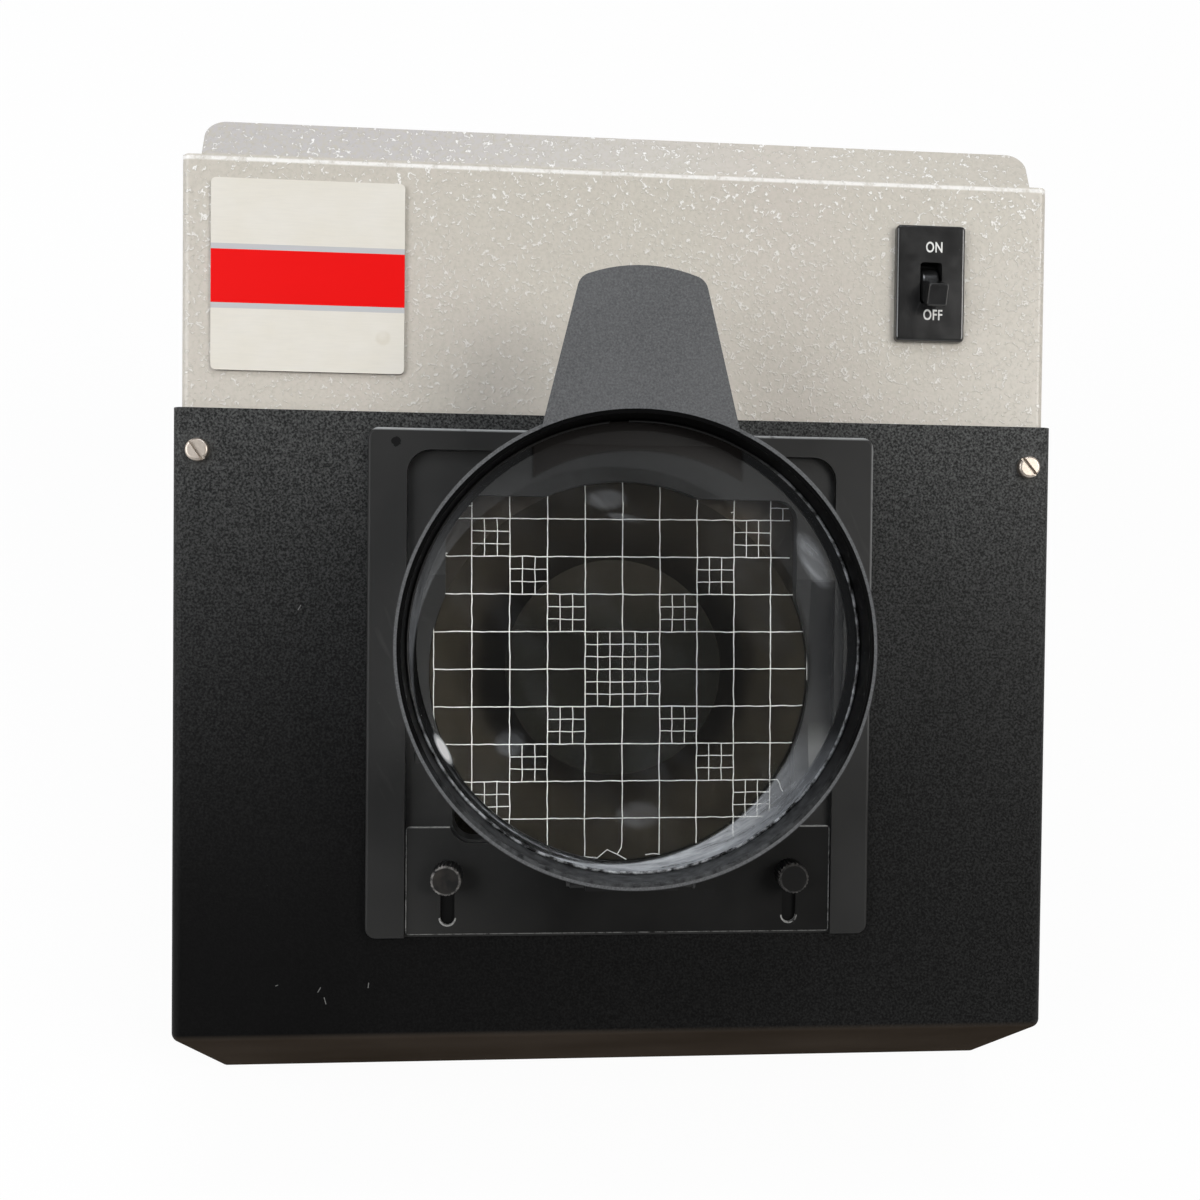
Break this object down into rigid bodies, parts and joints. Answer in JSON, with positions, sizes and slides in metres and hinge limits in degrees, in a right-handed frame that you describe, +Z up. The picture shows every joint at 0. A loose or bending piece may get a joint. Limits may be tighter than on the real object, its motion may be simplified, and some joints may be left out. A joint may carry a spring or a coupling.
{
  "type": "dark-field colony counter",
  "caption": "Sloping bench console with a ruled dish well, lit from below, under a round magnifier that tilts on a sliding bracket; lever switch on the upper panel.",
  "frame": {"origin": "middle of the box round the whole object, on the surface that the feet stand on", "axes": "+X to the right seen from the front, +Y to the back, +Z up; the panel slopes 26 degrees up towards +Y"},
  "size_m": [0.2446, 0.229, 0.1979],
  "materials": {
    "case_paint": "beige hammered enamel",
    "cover_paint": "fine black wrinkle enamel",
    "back_paint": "beige hammered enamel",
    "base_zinc": "dull zinc plate",
    "foot_rubber": "moulded black rubber",
    "zinc": "zinc plate",
    "screw_nickel": "dull nickel plate",
    "stage_plastic": "satin black moulding",
    "insert_brass": "turned brass",
    "ruled_glass": "clear with pale ruled lines",
    "inner_black": "matt black paint",
    "reflector_spun": "spun and blackened inside",
    "bulb_glass": "frosted",
    "cap_brass": "rolled brass",
    "ceramic": "glazed ceramic",
    "bracket_paint": "satin black, worn at the edges",
    "pin_steel": "turned steel",
    "frame_grey": "charcoal satin enamel",
    "lens_glass": "polished",
    "ring_black": "satin black",
    "knob_black": "black finish on knurled metal",
    "plate_print": "printed bands of red and silver on white",
    "switch_black": "polished black moulding",
    "block_plastic": "dark moulding",
    "lead_cover": "black insulation",
    "bushing_plastic": "black moulding"
  },
  "bodies": {
    "console": {"back_panel": "back_paint", "back_screws": "zinc", "base_plate": "base_zinc", "base_screws": "zinc", "case_body": "case_paint", "cord_bushing": "bushing_plastic", "cover_nuts": "zinc", "cover_screws": "screw_nickel", "dark_field_stop": "inner_black", "earth_nut": "zinc", "earth_screw": "zinc", "foot_nuts": "zinc", "foot_screws": "zinc", "front_cover": "cover_paint", "guide_plate": "ruled_glass", "guide_plate_retainer": "inner_black", "lamp_bracket": "zinc", "lamp_bracket_nuts": "zinc", "lamp_bracket_screws": "zinc", "lamp_bulb": "bulb_glass", "lamp_cap": "cap_brass", "lamp_leads": "lead_cover", "lamp_socket": "ceramic", "nameplate": "plate_print", "reflector": "reflector_spun", "retainer_screws": "zinc", "rubber_feet": "foot_rubber", "socket_screws": "zinc", "stage_frame": "stage_plastic", "stage_push_nuts": "zinc", "switch_body": "switch_black", "switch_leads": "lead_cover", "switch_plate": "switch_black", "terminal_block": "block_plastic", "terminal_screws": "zinc", "thread_inserts": "insert_brass"},
    "bracket": {"magnifier_bracket": "bracket_paint", "lens_hinge_pin": "pin_steel", "hinge_clip": "pin_steel"},
    "magnifier": {"lens_frame": "frame_grey", "lens": "lens_glass", "lens_retaining_ring": "ring_black"},
    "thumbscrew_left": {"thumbscrew_left": "knob_black"},
    "thumbscrew_right": {"thumbscrew_right": "knob_black"},
    "switch_lever": {"switch_lever": "switch_black"}
  },
  "joints": [
    {"name": "bracket_slide", "type": "slide", "parent": "console", "child": "bracket", "axis": [0, 0.8988, 0.4384], "range_m": [0, 0.0115]},
    {"name": "lens_tilt", "type": "hinge", "parent": "bracket", "child": "magnifier", "pos_m": [0.0015, -0.08077, 0.11268], "axis": [1, 0, 0], "range_deg": [0, 100]},
    {"name": "thumbscrew_left_turn", "type": "hinge", "parent": "console", "child": "thumbscrew_left", "pos_m": [-0.0475, -0.073, 0.08788], "axis": [0, -0.4384, 0.8988], "range_deg": [0, 360]},
    {"name": "thumbscrew_right_turn", "type": "hinge", "parent": "console", "child": "thumbscrew_right", "pos_m": [0.0475, -0.073, 0.08788], "axis": [0, -0.4384, 0.8988], "range_deg": [0, 360]},
    {"name": "switch_toggle", "type": "hinge", "parent": "console", "child": "switch_lever", "pos_m": [0.0861, 0.07805, 0.15821], "axis": [-1, 0, 0], "range_deg": [0, 44]}
  ]
}
